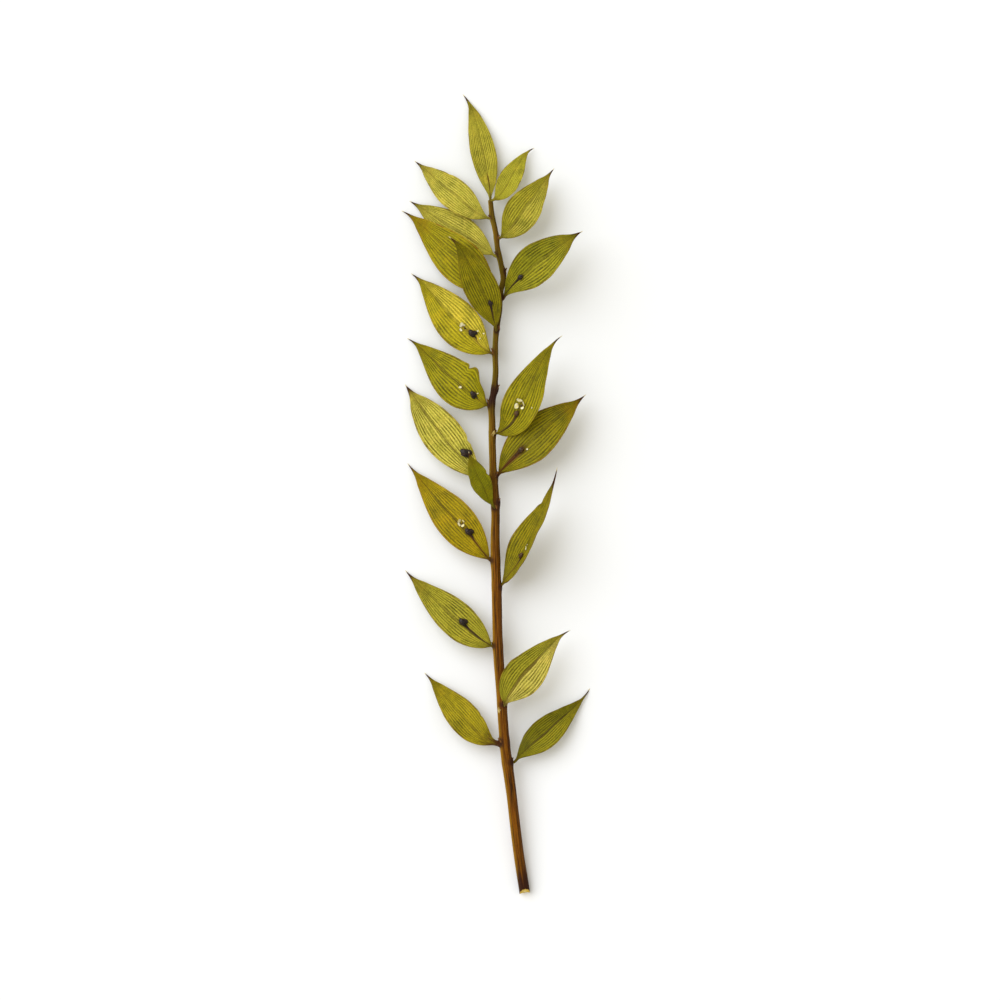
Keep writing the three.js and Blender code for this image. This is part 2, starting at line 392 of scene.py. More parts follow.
def blade_finish(number):
    """Dry olive skin with light veins, dark lines between them, a dry rim and a brown spine."""
    look = {**LOOK_DEFAULTS, **BLADE_LOOKS[number]}
    f = Finish(f"dry_blade_{number:02d}")
    across_share, along = f.surface()
    across = f.math("MULTIPLY_ADD", across_share, 2.0, -1.0)
    out = f.math("ABSOLUTE", across)
    place = f.place(0.031 * number)
    tone = look["tone"]
    # Painted light: on some blades the right half gets a paler tone than the left, for how light falls on the
    # two halves.
    lit_right_tone = look["lit_right_tone"] or tone
    half = f.band(across, -0.09, 0.09)

    def both(red, green, blue):
        """The tone of each half of the blade, the right half with its painted light, shifted alike."""
        factors = (red, green, blue)
        left = linear([value * factor for value, factor in zip(tone, factors)])
        right = linear([value * factor for value, factor in zip(lit_right_tone, factors)])
        return f.mix(half, left, right)

    # The body: blotches of green and straw.
    blotch = f.noise(place, 190.0, 4.0, 0.62)
    dry = f.noise(place, 330.0, 3.0, 0.6)
    colour = f.mix(f.band(blotch, 0.44, 0.64), both(1.0, 1.0, 1.0), both(0.75, 0.77, 0.5))
    colour = f.mix(f.band(dry, 0.50, 0.72, 0.0, 0.85), colour, both(1.18, 1.12, 1.3))

    # Light veins run from the base to the spine, with dark lines between them.
    wave = f.math("COSINE", f.math("MULTIPLY", across, VEINS_PER_HALF * TAU))
    streaks = f.noise(f.joined(f.math("MULTIPLY", across, 24.0), f.math("MULTIPLY", along, 8.0),
                               1.3 * number), 1.0, 4.0, 0.65)
    broken = f.noise(f.joined(f.math("MULTIPLY", across, 7.0), f.math("MULTIPLY", along, 11.0),
                              2.9 * number), 1.0, 3.0, 0.6)
    ridge = f.math("MULTIPLY", f.band(wave, -0.1, 0.9), f.band(streaks, 0.36, 0.58))
    valley = f.math("MULTIPLY", f.band(wave, -0.25, -0.95), f.band(broken, 0.66, 0.44))
    colour = f.mix(f.math("MULTIPLY", ridge, 0.85), colour, both(1.36, 1.33, 2.0))
    colour = f.mix(f.math("MULTIPLY", valley, look["lines"]), colour, both(0.46, 0.42, 0.1))
    hair = f.band(streaks, 0.58, 0.72, 0.0, 0.65)
    colour = f.mix(hair, colour, both(0.60, 0.56, 0.2))
    minor = f.math("COSINE", f.math("MULTIPLY", across, 3.0 * VEINS_PER_HALF * TAU))
    fine_line = f.math("MULTIPLY", f.band(minor, 0.55, 1.0), f.band(broken, 0.36, 0.60))
    colour = f.mix(f.math("MULTIPLY", fine_line, 0.45), colour, both(1.28, 1.24, 1.8))
    fine_gap = f.math("MULTIPLY", f.band(minor, -0.60, -1.0), f.band(streaks, 0.40, 0.60))
    colour = f.mix(f.math("MULTIPLY", fine_gap, 0.50), colour, both(0.58, 0.55, 0.2))

    # Fine cross veins between the long ones, and a grain over everything.
    ladder = f.noise(f.joined(f.math("MULTIPLY", across, 26.0), f.math("MULTIPLY", along, 64.0),
                              2.1 * number), 1.0, 2.0, 0.5)
    colour = f.mix(f.band(ladder, 0.56, 0.72, 0.0, 0.5), colour, both(0.62, 0.60, 0.3))
    colour = f.mix(f.band(ladder, 0.44, 0.28, 0.0, 0.5), colour, both(1.30, 1.25, 1.9))
    grain = f.noise(place, 4200.0, 2.0, 0.6)
    level = f.band(grain, 0.25, 0.75, 0.77, 1.19)
    colour = f.shade(colour, f.joined(level, level, level))

    # The midrib is darkest between the bud and the base, and thin and broken beyond.
    dark = linear((46, 20, 20)) if look["purple"] else linear((82, 46, 10))
    lean = look["aside"] / look["until"]
    ripple = f.math("MULTIPLY_ADD", streaks, 0.06, -0.03)
    from_line = f.math("SUBTRACT", across, f.math("MULTIPLY", along, lean))
    from_line = f.math("ABSOLUTE", f.math("ADD", from_line, ripple))
    near = f.band(from_line, look["width"] * 2.2, look["width"] * 0.4)
    inner = f.band(along, look["until"] + 0.03, look["until"] - 0.03)
    stain = f.math("MULTIPLY", f.math("MULTIPLY", near, inner), look["streak"])
    colour = f.mix(stain, colour, dark)
    on_rib = f.band(f.math("ABSOLUTE", f.math("ADD", across, ripple)), 0.046, 0.008)
    outer = f.math("MULTIPLY", f.band(along, 0.12, 0.30), f.band(streaks, 0.32, 0.52))
    colour = f.mix(f.math("MULTIPLY", f.math("MULTIPLY", on_rib, outer), look["tip_line"]),
                   colour, linear((58, 38, 8)))

    # The rim has dried straw and brown, most of all near the spine.
    worn = f.band(f.math("ADD", out, f.math("MULTIPLY", along, 0.03)), 0.935, 0.985)
    rim = f.mix(f.band(broken, 0.40, 0.58), linear(look["margin"]), both(1.3, 1.2, 1.6))
    colour = f.mix(f.math("MULTIPLY", worn, look["rim"]), colour, rim)
    edge = f.math("MULTIPLY", f.band(out, 0.965, 1.0), 0.5)
    colour = f.mix(edge, colour, linear(tint(look["margin"], 0.62)))
    glow = f.math("MULTIPLY", f.band(along, 0.66, 0.90), f.band(dry, 0.35, 0.6))
    colour = f.mix(f.math("MULTIPLY", glow, 0.5 * look["rim"]), colour, linear(look["margin"]))

    # The base and the spine are brown, and the spine's end has bleached.
    reach = look["base_reach"]
    base = f.math("ADD", along, f.band(broken, 0.35, 0.65, -0.3 * reach, 0.5 * reach))
    base = f.math("MULTIPLY", f.band(base, reach, 0.01), look["dark_base"])
    colour = f.mix(base, colour, linear((72, 32, 12)))
    end = f.math("ADD", along, f.math("MULTIPLY", out, 0.035))
    colour = f.mix(f.band(end, look["spine_from"] - 0.035, look["spine_from"] + 0.03), colour,
                   linear((70, 38, 10)))
    colour = f.mix(f.band(along, 0.965, 0.988), colour, linear((222, 206, 156)))

    gloss = f.math("ADD", streaks, f.math("MULTIPLY", grain, 0.5))
    roughness = f.band(gloss, 0.4, 1.1, 0.46, 0.68)
    fine = f.bump(grain, 0.010 * MM, 0.5)
    fine = f.bump(ladder, 0.020 * MM, 0.5, fine)
    relief = f.math("MULTIPLY_ADD", minor, 0.35, f.math("MULTIPLY_ADD", streaks, 0.6, wave))
    normal = f.bump(relief, 0.022 * MM, 0.8, fine)
    return f.done(colour, roughness, normal, 0.13)


def bark_finish():
    """Ribbed brown bark: ochre ridges, dark scars at the nodes, olive towards the tip; painted light and shade
    on its sides.
    """
    f = Finish("ribbed_bark")
    round_share, along = f.surface()
    place = f.place()
    scar = f.mark()
    ribs = f.noise(f.joined(f.math("MULTIPLY", round_share, 46.0), f.math("MULTIPLY", along, 16.0)),
                   1.0, 4.0, 0.6)
    hairs = f.noise(f.joined(f.math("MULTIPLY", round_share, 150.0),
                             f.math("MULTIPLY", along, 40.0)), 1.0, 3.0, 0.6)
    patches = f.noise(f.joined(f.math("MULTIPLY", round_share, 6.0),
                               f.math("MULTIPLY", along, 26.0)), 1.0, 3.0, 0.6)
    brown = f.mix(f.band(ribs, 0.36, 0.62), linear((44, 19, 1)), linear((132, 77, 4)))
    brown = f.mix(f.band(patches, 0.55, 0.75, 0.0, 0.6), brown, linear((102, 44, 8)))
    olive = f.mix(f.band(ribs, 0.36, 0.62), linear((46, 33, 1)), linear((118, 95, 8)))
    young = f.math("MULTIPLY", f.band(along, 0.42, 0.80), f.band(patches, 0.34, 0.56, 0.55, 1.0))
    colour = f.mix(young, brown, olive)
    # Painted light: the left side of the stem is painted lighter as a highlight and the right side darker as
    # shade.
    lit_side_facing = f.math("COSINE", f.math("MULTIPLY", f.math("SUBTRACT", round_share, 0.5), TAU))
    painted_highlight = f.mix(young, linear((162, 120, 14)), linear((140, 124, 30)))
    painted_shade = f.mix(young, linear((58, 28, 4)), linear((56, 44, 8)))
    colour = f.mix(f.band(lit_side_facing, 0.45, 0.98, 0.0, 0.7), colour, painted_highlight)
    colour = f.mix(f.band(lit_side_facing, -0.35, -0.95, 0.0, 0.55), colour, painted_shade)
    colour = f.mix(f.math("MULTIPLY", f.band(hairs, 0.54, 0.72), 0.5), colour,
                   linear((170, 124, 40)))
    colour = f.mix(f.math("MULTIPLY", f.band(hairs, 0.46, 0.30), 0.45), colour,
                   linear((56, 28, 10)))
    colour = f.mix(f.math("MULTIPLY", f.band(scar, 0.15, 0.75), 0.93), colour,
                   linear((50, 24, 14)))
    grain = f.noise(place, 3800.0, 2.0)
    level = f.band(grain, 0.25, 0.75, 0.82, 1.14)
    colour = f.shade(colour, f.joined(level, level, level))
    roughness = f.band(hairs, 0.3, 0.7, 0.38, 0.62)
    fine = f.bump(grain, 0.015 * MM, 0.6)
    normal = f.bump(f.math("MULTIPLY_ADD", hairs, 0.5, ribs), 0.09 * MM, 0.8, fine)
    return f.done(colour, roughness, normal, 0.08)


def wood_finish():
    """Pale pith and wood on the cut face, darker next to the bark."""
    f = Finish("cut_wood")
    place = f.place()
    pores = f.noise(place, 5200.0, 3.0, 0.7)
    rays = f.noise(place, 1500.0, 3.0, 0.6)
    colour = f.mix(f.band(pores, 0.36, 0.66), linear((206, 168, 56)), linear((236, 208, 96)))
    colour = f.mix(f.band(rays, 0.5, 0.72, 0.0, 0.5), colour, linear((190, 146, 46)))
    rim = f.mark()
    colour = f.mix(f.band(rim, 0.36, 0.26), colour, linear((232, 214, 138)))
    ring = f.math("MULTIPLY", f.band(rim, 0.60, 0.72), f.band(rim, 0.86, 0.76))
    colour = f.mix(f.math("MULTIPLY", ring, 0.5), colour, linear((176, 132, 36)))
    colour = f.mix(f.band(rim, 0.93, 1.0, 0.0, 0.5), colour, linear((150, 104, 34)))
    return f.done(colour, 0.75, f.bump(pores, 0.03 * MM, 0.7), 0.3)


def bud_finish(name, dark, light, rim):
    """Dark bracts with a dull shine and lighter dry rims."""
    f = Finish(name)
    place = f.place(0.2)
    cloud = f.noise(place, 900.0, 3.0, 0.6)
    lines = f.noise(f.joined(f.math("MULTIPLY", f.surface()[0], 22.0),
                             f.math("MULTIPLY", f.surface()[1], 3.0)), 1.0, 3.0)
    colour = f.mix(f.band(cloud, 0.35, 0.65), linear(dark), linear(light))
    colour = f.mix(f.band(lines, 0.5, 0.75, 0.0, 0.35), colour, linear(rim))
    colour = f.mix(f.band(f.mark(), 0.40, 0.95, 0.0, 0.85), colour, linear(rim))
    normal = f.bump(f.math("ADD", lines, cloud), 0.03 * MM, 0.8)
    return f.done(colour, f.band(cloud, 0.3, 0.7, 0.26, 0.46), normal, 0.34)


def petal_finish():
    """Papery cream, browner towards the base."""
    f = Finish("dry_petal")
    place = f.place(0.4)
    cloud = f.noise(place, 1300.0, 3.0, 0.6)
    across, along = f.surface()
    lines = f.noise(f.joined(f.math("MULTIPLY", across, 18.0), f.math("MULTIPLY", along, 3.0)),
                    1.0, 3.0)
    colour = f.mix(f.band(cloud, 0.35, 0.7), linear((252, 247, 214)), linear((226, 214, 140)))
    colour = f.mix(f.band(lines, 0.55, 0.75, 0.0, 0.4), colour, linear((176, 150, 78)))
    colour = f.mix(f.band(along, 0.45, 0.0, 0.0, 0.8), colour, linear((140, 112, 46)))
    normal = f.bump(f.math("ADD", lines, cloud), 0.02 * MM, 0.8)
    return f.done(colour, 0.62, normal, 0.4)


def scale_finish(name, dark, light):
    """The papery scale at each node."""
    f = Finish(name)
    place = f.place(0.6)
    cloud = f.noise(place, 1100.0, 3.0, 0.6)
    across, along = f.surface()
    lines = f.noise(f.joined(f.math("MULTIPLY", across, 14.0), f.math("MULTIPLY", along, 3.0)),
                    1.0, 3.0)
    colour = f.mix(f.band(cloud, 0.35, 0.65), linear(dark), linear(light))
    colour = f.mix(f.band(lines, 0.5, 0.75, 0.0, 0.6), colour, linear(tint(light, 1.2)))
    return f.done(colour, 0.7, f.bump(lines, 0.03 * MM, 0.8), 0.25)


# ---------------------------------------------------------------- the stem's route


def read_stem():
    """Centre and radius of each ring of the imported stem, from the cut end to the tip."""
    mesh = merged(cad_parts["stem"])
    points = sorted((vertex.co.y, tuple(vertex.co)) for vertex in mesh.verts)
    mesh.free()
    rings = [[points[0][1]]]
    for before, after in zip(points, points[1:]):
        if after[0] - before[0] > 0.8 * MM:
            rings.append([])
        rings[-1].append(after[1])
    centres = []
    radii = []
    for ring in rings:
        ring = np.array(ring)
        centre = ring.mean(axis=0)
        away = np.linalg.norm(ring - centre, axis=1)
        centres.append(centre)
        radii.append(away[away > 0.3 * MM].mean())
    return np.array(centres), np.array(radii)


STEM_CENTRES, STEM_RADII = read_stem()
STEM_START = STEM_CENTRES[0, 1]
STEM_END = STEM_CENTRES[-1, 1]


def stem_at(distances):
    """Centre, forward, right, up and radius at distances from the cut end."""
    knots = (STEM_CENTRES[:, 1] - STEM_START)
    at = np.interp(distances, knots, np.arange(len(knots)))
    centre = spline(STEM_CENTRES, at)
    step = 0.02
    ahead = spline(STEM_CENTRES, np.clip(at + step, 0, len(knots) - 1))
    behind = spline(STEM_CENTRES, np.clip(at - step, 0, len(knots) - 1))
    forward = unit(ahead - behind)
    right = unit(np.cross(forward, np.array([0.0, 0.0, 1.0])))
    up = np.cross(right, forward)
    radius = spline(STEM_RADII[:, None], at)[:, 0]
    return centre, forward, right, up, radius


# ---------------------------------------------------------------- blades


def read_blade(number):
    """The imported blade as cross-sections from base to tip: middle, width and lift of the rims."""
    mesh = merged(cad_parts[f"leaf_{number:02d}"])
    poles = [vertex for vertex in mesh.verts if len(vertex.link_edges) == RING_POINTS]
    if len(poles) != 2:
        raise ValueError(f"blade {number} has {len(poles)} poles")
    poles.sort(key=lambda pole: np.linalg.norm(STEM_CENTRES - np.array(pole.co), axis=1).min())
    seen = {poles[0].index}
    rings = [[poles[0]]]
    while len(seen) < len(mesh.verts):
        following = []
        for vertex in rings[-1]:
            for edge in vertex.link_edges:
                neighbour = edge.other_vert(vertex)
                if neighbour.index not in seen:
                    seen.add(neighbour.index)
                    following.append(neighbour)
        rings.append(following)
    base, tip = (np.array(pole.co) for pole in poles)
    middles = [base]
    sides = []
    lifts = [np.zeros(3)]
    for ring in rings[1:-1]:
        if len(ring) != RING_POINTS:
            raise ValueError(f"blade {number} has a ring of {len(ring)} points")
        middle, side, lift = read_ring(np.array([tuple(vertex.co) for vertex in ring]), tip - base)
        middles.append(middle)
        sides.append(side)
        lifts.append(lift)
    mesh.free()
    middles.append(tip)
    lifts.append(np.zeros(3))
    sides = [sides[0] * 1e-6, *sides, sides[-1] * 1e-6]
    return np.array(middles), np.array(sides), np.array(lifts)


def read_ring(points, along):
    """Middle, half-width vector to the right, and lift of the rims, of one cross-section."""
    gaps = np.linalg.norm(points[:, None] - points[None, :], axis=2)
    left, right = np.unravel_index(gaps.argmax(), gaps.shape)
    side = (points[right] - points[left]) / 2.0
    offside = np.abs((points - (points[right] + points[left]) / 2.0) @ unit(side))
    inner = np.argsort(offside)[:2]
    middle = points[inner].mean(axis=0)
    faces_up = np.cross(side, along)
    if faces_up[2] < 0.0:
        side = -side
    lift = (points[right] + points[left]) / 2.0 - middle
    return middle, side, lift


def blade_rows(number):
    """Smooth rows along a blade, starting inside the stem."""
    middles, sides, lifts = read_blade(number)
    halves = np.linalg.norm(sides, axis=1)
    directions = unit(sides)
    angle = np.linspace(0.0, math.pi, BLADE_ROWS + 1)
    at = angle / math.pi * (len(middles) - 1)
    share = (1.0 - np.cos(angle)) / 2.0
    middle = spline(middles, at)
    half = np.maximum(spline(halves[:, None], at)[:, 0], 0.0)
    side = unit(spline(directions, at))
    half = half * (1.0 - TIP_NARROWING * smooth(share, 0.80, 0.92))
    lift = spline(lifts, at)
    along = unit(np.gradient(middle, axis=0))
    along[0] = along[1]
    along[-1] = along[-2]

    # The petiole leaves the stem a little below the blade and curves into it.
    base = middle[0]
    distance = max(0.0, base[1] - STEM_START - 0.9 * MM)
    distance = min(distance, STEM_END - STEM_START)
    root = stem_at(np.array([distance]))[0][0]
    t = np.linspace(0.0, 1.0, PETIOLE_ROWS + 1)[:-1, None]
    control = base - along[0] * 0.55 * MM
    stalk = (1 - t) ** 2 * root + 2 * t * (1 - t) * control + t**2 * base
    count = len(stalk)
    middle = np.concatenate([stalk, middle])
    half = np.concatenate([np.zeros(count), half])
    side = np.concatenate([np.repeat(side[:1], count, axis=0), side])
    lift = np.concatenate([np.zeros((count, 3)), lift])
    share = np.concatenate([np.linspace(-0.05, 0.0, count + 1)[:-1], share])
    along = unit(np.gradient(middle, axis=0))
    side = unit(side - (side * along).sum(axis=1, keepdims=True) * along)
    return middle, half, side, lift, along, share


def widened(half, share, stalk_size):
    """Half width and half thickness once the petiole and the spine are added."""
    stalk = stalk_size * PETIOLE_RADIUS * (1.0 - smooth(share, 0.02, 0.10))
    into_spine = np.clip((1.0 - share) / SPINE_LENGTH, 0.0, 1.0)
    spine = SPINE_END_RADIUS + (SPINE_RADIUS - SPINE_END_RADIUS) * into_spine
    spine = spine * smooth(share, 1.0 - 2.2 * SPINE_LENGTH, 1.0 - 0.7 * SPINE_LENGTH)
    closing = 1.0 - smooth(share, 0.990, 1.0) * 0.7
    wide = (half**3 + stalk**3 + (spine * closing) ** 3) ** (1.0 / 3.0)
    thick = (BLADE_HALF_THICKNESS**3 + stalk**3 + (0.9 * spine) ** 3) ** (1.0 / 3.0)
    thick = np.minimum(thick, wide * 0.95 + 0.01 * MM)
    return wide, thick


def rim_damage(number, share, across):
    """Factor on the half width where a piece of the rim is missing."""
    factor = np.ones_like(across)
    for blade, side, at, depth, length in NICKS:
        if blade != number:
            continue
        gap = np.exp(-(((share - at) / length) ** 2))
        factor = factor - depth * gap * np.clip(side * across, 0.0, 1.0) ** 2
    return factor


def rim_folds(number, share, across):
    """Height of a rim that stands up."""
    height = np.zeros_like(across)
    for blade, side, start, end, rise in FOLDS:
        if blade != number:
            continue
        span = smooth(share, start, start + 0.12) * (1.0 - smooth(share, end - 0.04, end))
        height = height + rise * MM * span * smooth(side * across, 0.55, 1.0)
    return height


def blade_relief(number, share, across, half):
    """How far the dry sheet waves, and how high its veins stand, at each point."""
    chance = random.Random(1000 + number)
    inside = smooth(share, 0.02, 0.22) * (1.0 - smooth(share, 0.72, 0.92))
    waves = np.zeros_like(across)
    for along_turns, across_turns, size in ((2.1, 0.6, 0.13), (3.7, 0.9, 0.09), (6.3, 1.6, 0.05)):
        phase = chance.uniform(0.0, TAU)
        slant = chance.uniform(-1.0, 1.0)
        turn = TAU * (along_turns * share + slant * across_turns * across) + phase
        waves = waves + size * MM * np.sin(turn) * (0.35 + 0.65 * np.abs(across) ** 1.5)
    waves = waves * inside
    drift = 0.030 * np.sin(TAU * 1.3 * share + chance.uniform(0.0, TAU))
    drift = drift + 0.016 * np.sin(TAU * (3.1 * share + 0.8 * across) + chance.uniform(0.0, TAU))
    drift = drift * (1.0 - across**2)
    crowding = np.clip(half / (2.4 * MM), 0.0, 1.0)
    veins = np.cos(TAU * VEINS_PER_HALF * (across + drift))
    uneven = 0.75 + 0.25 * np.sin(TAU * (2.0 * share + 1.7 * across) + number)
    veins = VEIN_HEIGHT * veins * uneven * crowding * (1.0 - np.abs(across) ** 10)
    rib = MIDRIB_HEIGHT * np.exp(-((across / 0.035) ** 2)) * (1.0 - 0.8 * smooth(share, 0.2, 0.9))
    rib = rib * np.clip(half / (1.6 * MM), 0.0, 1.0)
    hollow = 0.09 * MM * np.exp(-((across / 0.16) ** 2)) * inside
    return waves - hollow, veins, rib, across + drift


def blade_surface(number):
    """Upper and lower faces of a blade as grids of points, with the frames that they follow."""
    middle, half, side, lift, along, share = blade_rows(number)
    stalk_size = BLADE_LOOKS[number].get("stalk", 1.0)
    wide, thick = widened(half, share, stalk_size)
    normal = unit(np.cross(side, along))
    v = np.linspace(-1.0, 1.0, BLADE_COLUMNS + 1)
    across = (v + 0.05 * np.sin(math.pi * v))[None, :] * np.ones((len(share), 1))
    rows = share[:, None] * np.ones_like(across)
    wide_here = wide[:, None] * rim_damage(number, rows, across)
    sheet, veins, rib, shifted = blade_relief(number, rows, across, half[:, None])
    sheet = sheet + rim_folds(number, rows, across)
    slope = 2.0 * across * (lift * normal).sum(axis=1)[:, None] / np.maximum(wide_here, 1e-5)
    tilted = unit(normal[:, None, :] - slope[..., None] * side[:, None, :])
    ratio = np.where(half > 1e-7, wide / np.maximum(half, 1e-7), 1.0)
    easing = np.minimum(across**2, 1.0) / np.maximum(ratio, 1.0)[:, None]
    bent = lift[:, None, :] * easing[..., None]
    points = (
        middle[:, None, :]
        + side[:, None, :] * (across * wide_here)[..., None]
        + bent
        + tilted * sheet[..., None]
    )
    rounded = np.sqrt(np.clip(1.0 - across**2, 0.0, 1.0))
    flat = np.clip(1.0 - np.abs(across) ** 12, 0.0, 1.0) ** 0.5
    slender = np.clip(1.0 - (wide - thick) / (0.6 * MM), 0.0, 1.0)[:, None]
    section = rounded * slender + flat * (1.0 - slender)
    depth = thick[:, None] * section
    upper = points + tilted * (depth + veins + 0.5 * rib)[..., None]
    lower = points - tilted * (depth + 0.6 * veins + rib)[..., None]
    rim = (np.abs(across) > 0.9999)[..., None]
    upper = np.where(rim, points, upper)
    lower = np.where(rim, points, lower)
    return upper, lower, shifted, rows, tilted, along


def make_blade(number):
    """One dried blade with its petiole and spine."""
    upper, lower, across, rows, tilted, along = blade_surface(number)
    loop = np.concatenate([upper, lower[:, -2:0:-1]], axis=1)
    turns = np.concatenate([across, across[:, -2:0:-1]], axis=1)
    uvs = np.stack([(turns + 1.0) / 2.0, np.concatenate([rows, rows[:, 1:-1]], axis=1)], axis=-1)
    shape = Shape()
    index = shape.grid(loop, uvs, round_columns=True)
    shape.cap(index[0, :-1])
    shape.cap(index[-1, :-1])
    shape.build(f"blade_{number:02d}", [blade_finish(number)], [f"leaf_{number:02d}"])
    return {"upper": upper, "tilted": tilted, "along": along}


# ---------------------------------------------------------------- the stem


def make_stem(materials):
    """Ribbed bark with swollen nodes, a slanted cut face and a scale at each node."""
    length = STEM_END - STEM_START
    distance = np.linspace(0.0, length, STEM_ROWS + 1)
    centre, _, right, up, radius = stem_at(distance)
    turn = np.linspace(0.0, TAU, STEM_COLUMNS, endpoint=False)[None, :]
    turn = turn * np.ones((len(distance), 1))
    along = distance[:, None] / MM * np.ones_like(turn)
    share = distance[:, None] / length * np.ones_like(turn)
    twist = 0.5 * np.sin(along / 31.0) + 0.25 * np.sin(along / 12.7 + 1.3)
    flutes = np.cos(STEM_FLUTES * (turn + twist))
    fine = np.cos((2 * STEM_FLUTES + 3) * turn + 0.9 * np.sin(along / 8.3))
    height = 0.055 * MM * flutes + 0.026 * MM * fine
    knots = np.sin(along / 2.9 + 2.0 * np.sin(turn)) * np.cos(turn * 2 + along / 9.0)
    height = height + 0.03 * MM * knots
    scar = np.zeros_like(turn)
    for at, side, swell in STEM_NODES:
        aim = math.radians(side)
        facing = np.clip(np.cos(turn - aim), 0.0, 1.0)
        near = np.exp(-(((along - at) / 1.15) ** 2))
        ledge = np.exp(-(((along - at - 0.55) / 0.28) ** 2))
        below = smooth(along, at - 14.0, at) * (1.0 - smooth(along, at, at + 0.8))
        height = height + swell * MM * near * (0.25 + 0.75 * facing**2)
        height = height + 0.35 * swell * MM * ledge * facing
        height = height + 0.25 * swell * MM * below * facing**6
        close = np.exp(-(((along - at) / (0.8 + 2.2 * swell)) ** 2))
        scar = np.maximum(scar, close * (0.30 + 0.70 * facing) * min(1.0, 0.45 + 1.8 * swell))
    darkest, spread = DARK_STRETCH
    scar = np.maximum(scar, 0.9 * np.exp(-(((along - darkest) / spread) ** 2)))
    scar = np.maximum(scar, 0.80 * (1.0 - smooth(along + 1.2 * np.sin(5.0 * turn), 1.0, 10.0)))
    cushion = 0.02 * MM
    shrink = radius[:, None] * 0.965 - cushion
    thick = shrink + height
    points = (
        centre[:, None, :]
        + right[:, None, :] * (thick * np.cos(turn))[..., None]
        + up[:, None, :] * (thick * np.sin(turn))[..., None]
    )
    # The upper half of the cut leans back, so its face can be seen from above.
    rise = np.clip(points[..., 2] - points[:1, :, 2].mean(), 0.0, None)
    shift = (CUT_SLOPE * rise - CUT_REACH) * (1.0 - smooth(along, 0.0, 2.4))
    points[..., 1] = points[..., 1] + shift
    points[..., 2] = np.maximum(points[..., 2], 0.06 * MM)
    uvs = np.stack([turn / TAU, share], axis=-1)
    shape = Shape()
    index = shape.grid(points, uvs, round_columns=True, extra=scar)
    close_cut(shape, points[0], uvs[0])
    shape.cap(index[-1, :-1])
    for at, side, swell in STEM_NODES:
        add_scale(shape, at, side, swell)
    for at, side, swell in PALE_SCALES:
        add_scale(shape, at, side, swell, pale=True)
    shape.build("stem_bark", materials, ["stem"])


def close_cut(shape, ring, uvs):
    """The cut face in rings of its own, so that its wood can be finer than the bark."""
    middle = ring.mean(axis=0)
    steps = np.array([1.0, 0.96, 0.86, 0.7, 0.5, 0.3, 0.12])
    inset = np.array([0.0, -0.05, -0.02, 0.03, 0.0, 0.04, 0.06]) * MM
    points = middle + (ring - middle)[None] * steps[:, None, None]
    points[..., 1] = points[..., 1] + inset[:, None]
    flat = np.repeat(uvs[None], len(steps), axis=0)
    index = shape.grid(points, flat, finish=1, round_columns=True,
                       extra=np.repeat(steps[:, None], len(ring), axis=1))
    shape.cap(index[-1, :-1], finish=1)


def leaf_outline(share, peak=0.4, point=1.6):
    safe = np.clip(share, 1e-6, 1.0 - 1e-6)
    return (safe / peak) ** (peak * point) * ((1.0 - safe) / (1.0 - peak)) ** ((1.0 - peak) * point)


def add_patch(shape, origin, right, forward, up, width, length, cup, curl, thickness, finish=0,
              tip_turn=0.0, columns=8, rows=12, point=1.6):
    """A small curved scale or petal, closed on all sides."""
    share = np.linspace(0.0, 1.0, rows + 1)[:, None] * np.ones((1, columns + 1))
    across = np.linspace(-1.0, 1.0, columns + 1)[None, :] * np.ones((rows + 1, 1))
    bend = curl * share
    climb = np.where(abs(curl) > 1e-4, (1.0 - np.cos(bend)) / (curl if curl else 1.0), 0.0)
    reach = np.where(abs(curl) > 1e-4, np.sin(bend) / (curl if curl else 1.0), share)
    half = width / 2.0 * leaf_outline(share, point=point)
    x = across * half + tip_turn * share**2 * length
    y = length * reach
    z = length * climb + cup * across**2
    middle = (
        origin
        + right * x[..., None]
        + forward * y[..., None]
        + up * z[..., None]
    )
    depth = thickness / 2.0 * np.sqrt(np.clip(1.0 - across**2, 0.0, 1.0))
    lean = -np.sin(bend)[..., None] * forward + np.cos(bend)[..., None] * up
    top = middle + lean * depth[..., None]
    under = middle - lean * depth[..., None]
    loop = np.concatenate([top, under[:, -2:0:-1]], axis=1)
    turns = np.concatenate([across, across[:, -2:0:-1]], axis=1)
    lengths = np.concatenate([share, share[:, 1:-1]], axis=1)
    uvs = np.stack([(turns + 1.0) / 2.0, lengths], axis=-1)
    rim = np.maximum(np.abs(turns), lengths) ** 6
    index = shape.grid(loop, uvs, finish=finish, round_columns=True, extra=rim)
    shape.cap(index[0, :-1], finish=finish)
    shape.cap(index[-1, :-1], finish=finish)


def add_scale(shape, at, side, swell, pale=False):
    """The small papery scale that clasps the stem under a blade."""
    chance = random.Random(int(at * 10))
    centre, forward, right, up, radius = (part[0] for part in stem_at(np.array([(at - 0.9) * MM])))
    angle = math.radians(side + chance.uniform(-18.0, 18.0))
    out = right * math.cos(angle) + up * math.sin(angle)
    across = np.cross(forward, out)
    origin = centre + out * (radius * 0.93 + 0.02 * MM)
    size = 0.9 + 1.5 * swell
    add_patch(
        shape, origin, across, unit(forward + 0.08 * out), out,
        width=1.15 * size * MM, length=1.55 * size * MM, cup=-0.28 * MM, curl=0.35,
        thickness=0.07 * MM, finish=3 if pale else 2, tip_turn=chance.uniform(-0.2, 0.2),
    )


# ---------------------------------------------------------------- buds and flowers


def seat(blade, node):
    """The place on a blade's upper face that is under a packed bud or flower."""
    low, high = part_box(node)
    centre = np.array((low + high) / 2.0)
    gaps = np.linalg.norm(blade["upper"] - centre, axis=2)
    row, column = np.unravel_index(gaps.argmin(), gaps.shape)
    up = blade["tilted"][row, column]
    forward = blade["along"][row]
    forward = unit(forward - (forward @ up) * up)
    right = np.cross(forward, up)
    return blade["upper"][row, column], right, forward, up, (row, column)


